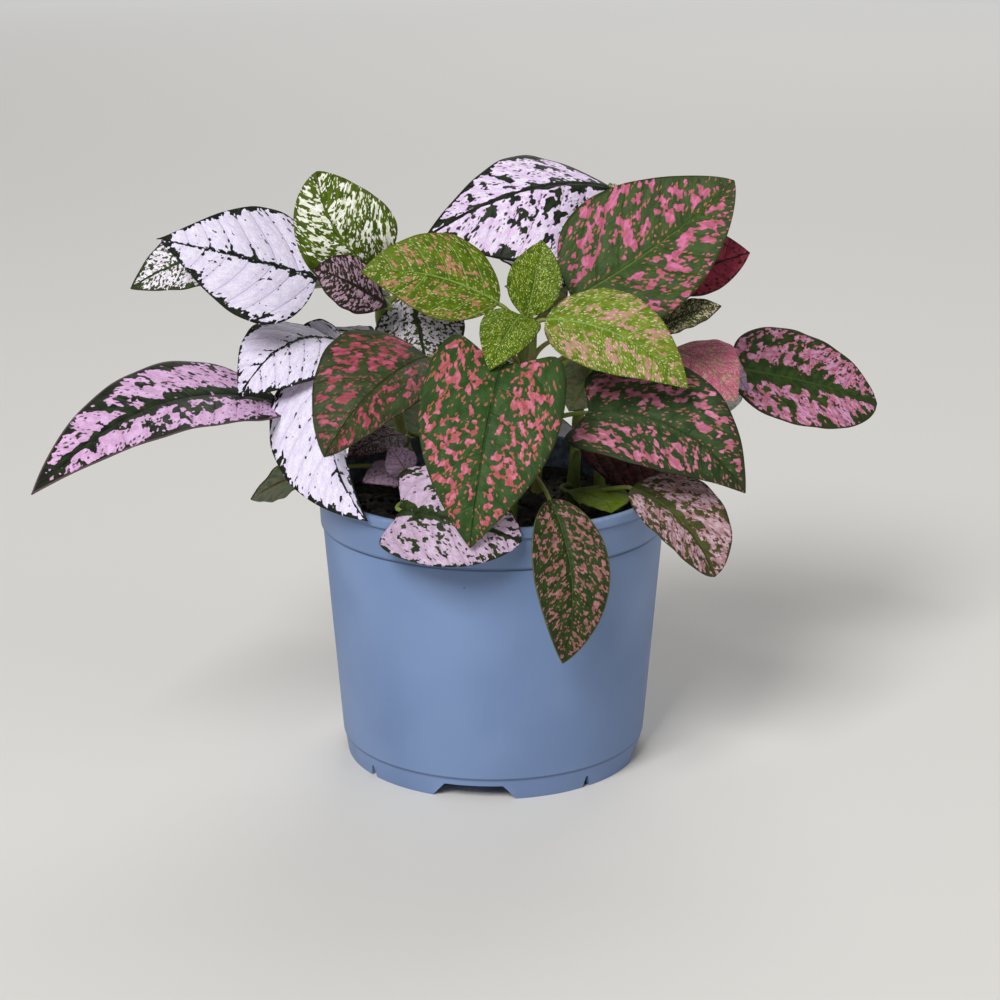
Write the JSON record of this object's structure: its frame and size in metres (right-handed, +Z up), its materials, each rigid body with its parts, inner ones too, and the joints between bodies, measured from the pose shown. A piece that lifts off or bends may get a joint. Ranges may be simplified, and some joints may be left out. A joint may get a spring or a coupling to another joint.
{
  "type": "potted polka dot plant",
  "caption": "Leafy house plant with spotted red, white, pink and lime leaves, growing in a round plastic nursery pot.",
  "frame": {"origin": "on the surface that the pot stands on, under the middle of the whole plant, which is within 2 mm of the pot's axis", "axes": "+Z up the pot's axis, -Y the front that the picture shows, +X to the right of that view, along which the leaves reach furthest"},
  "size_m": [0.2814, 0.1485, 0.2004],
  "materials": {
    "pot": "matte",
    "soil": "crumbly, moist",
    "leaves_lime_and_red": "leaf, soft sheen",
    "leaves_white": "leaf, soft sheen",
    "leaves_red": "leaf, soft sheen",
    "leaves_pink": "leaf, soft sheen"
  },
  "bodies": {
    "root": {"pot": "pot", "soil": "soil", "leafy_stem_red_front": "leaves_lime_and_red", "leafy_stem_white_left": "leaves_white", "leafy_stem_white_low": "leaves_white", "leafy_stem_white_back": "leaves_white", "leafy_stem_red_right": "leaves_red", "leafy_stem_pink_right": "leaves_pink", "leafy_stem_red_back": "leaves_red", "leafy_stem_pink_back": "leaves_pink"}
  },
  "joints": []
}
